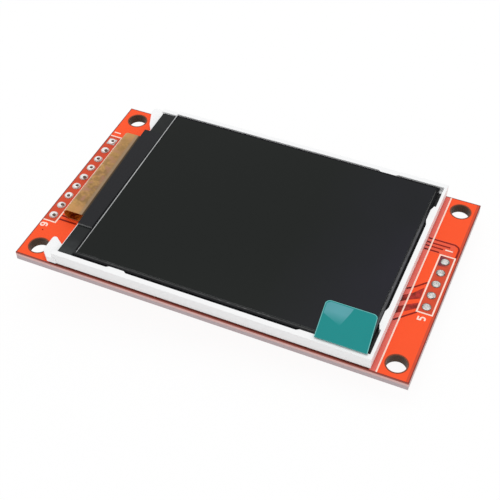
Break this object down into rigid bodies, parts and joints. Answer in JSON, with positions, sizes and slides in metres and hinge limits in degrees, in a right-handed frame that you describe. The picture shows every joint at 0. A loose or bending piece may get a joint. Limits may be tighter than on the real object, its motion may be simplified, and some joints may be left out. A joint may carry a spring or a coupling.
{
  "type": "tft display module",
  "caption": "Small colour display on a red circuit board, with corner mounting holes, a pin header, open connector holes and a memory-card socket behind.",
  "frame": {"origin": "centre of the four mounting holes, on the back face of the circuit board", "axes": "+Z from the board's back face towards the display's viewing side; +X along the long side, towards the row of open connector holes; +Y across the short side, towards the square pad that marks the first header pin"},
  "size_m": [0.067, 0.0404, 0.0126],
  "materials": {
    "circuit_board": "red solder mask over glass-fibre laminate",
    "header_pads": "tinned copper",
    "card_pads": "tinned copper",
    "header_pins": "thinly gilded pins",
    "header_spacer": "black moulded strip",
    "header_solder": "bright solder",
    "mounting_tape": "white double-sided tape",
    "backlight_frame": "white moulded plastic",
    "reflector_film": "silver reflector sheet",
    "light_guide": "clear acrylic plate",
    "diffuser_film": "milky sheet",
    "prism_film_lower": "ribbed clear sheet",
    "prism_film_upper": "ribbed clear sheet",
    "led_flex": "white coated flexible circuit",
    "backlight_leds": "white light emitting diodes",
    "rim_tape": "black light-shield tape",
    "rear_polariser": "dark polariser sheet",
    "array_glass": "dark thin glass",
    "colour_filter_glass": "dark thin glass",
    "front_polariser": "dark polariser sheet",
    "driver_chip": "bare silicon die",
    "ledge_cover": "black cover tape",
    "display_flex": "amber polyimide with copper",
    "flex_solder": "solder",
    "protective_film": "clear peel-off film over a dark panel",
    "pull_tab": "teal film tab",
    "card_socket_body": "black moulded plastic",
    "card_socket_shell": "stamped steel",
    "card_contacts": "gilded spring contacts",
    "card_switch_contacts": "gilded spring contacts",
    "voltage_regulator": "black moulded package",
    "regulator_leads": "tinned leads",
    "backlight_transistor": "black moulded package",
    "transistor_leads": "tinned leads",
    "chip_resistors": "black coated ceramic",
    "resistor_ends": "tinned ends",
    "chip_capacitors": "tan ceramic",
    "capacitor_ends": "tinned ends"
  },
  "bodies": {
    "root": {"circuit_board": "circuit_board", "header_pads": "header_pads", "card_pads": "card_pads", "header_pins": "header_pins", "header_spacer": "header_spacer", "header_solder": "header_solder", "mounting_tape": "mounting_tape", "backlight_frame": "backlight_frame", "reflector_film": "reflector_film", "light_guide": "light_guide", "diffuser_film": "diffuser_film", "prism_film_lower": "prism_film_lower", "prism_film_upper": "prism_film_upper", "led_flex": "led_flex", "backlight_leds": "backlight_leds", "rim_tape": "rim_tape", "rear_polariser": "rear_polariser", "array_glass": "array_glass", "colour_filter_glass": "colour_filter_glass", "front_polariser": "front_polariser", "driver_chip": "driver_chip", "ledge_cover": "ledge_cover", "display_flex": "display_flex", "flex_solder": "flex_solder", "protective_film": "protective_film", "pull_tab": "pull_tab", "card_socket_body": "card_socket_body", "card_socket_shell": "card_socket_shell", "card_contacts": "card_contacts", "card_switch_contacts": "card_switch_contacts", "voltage_regulator": "voltage_regulator", "regulator_leads": "regulator_leads", "backlight_transistor": "backlight_transistor", "transistor_leads": "transistor_leads", "chip_resistors": "chip_resistors", "resistor_ends": "resistor_ends", "chip_capacitors": "chip_capacitors", "capacitor_ends": "capacitor_ends"}
  },
  "joints": []
}
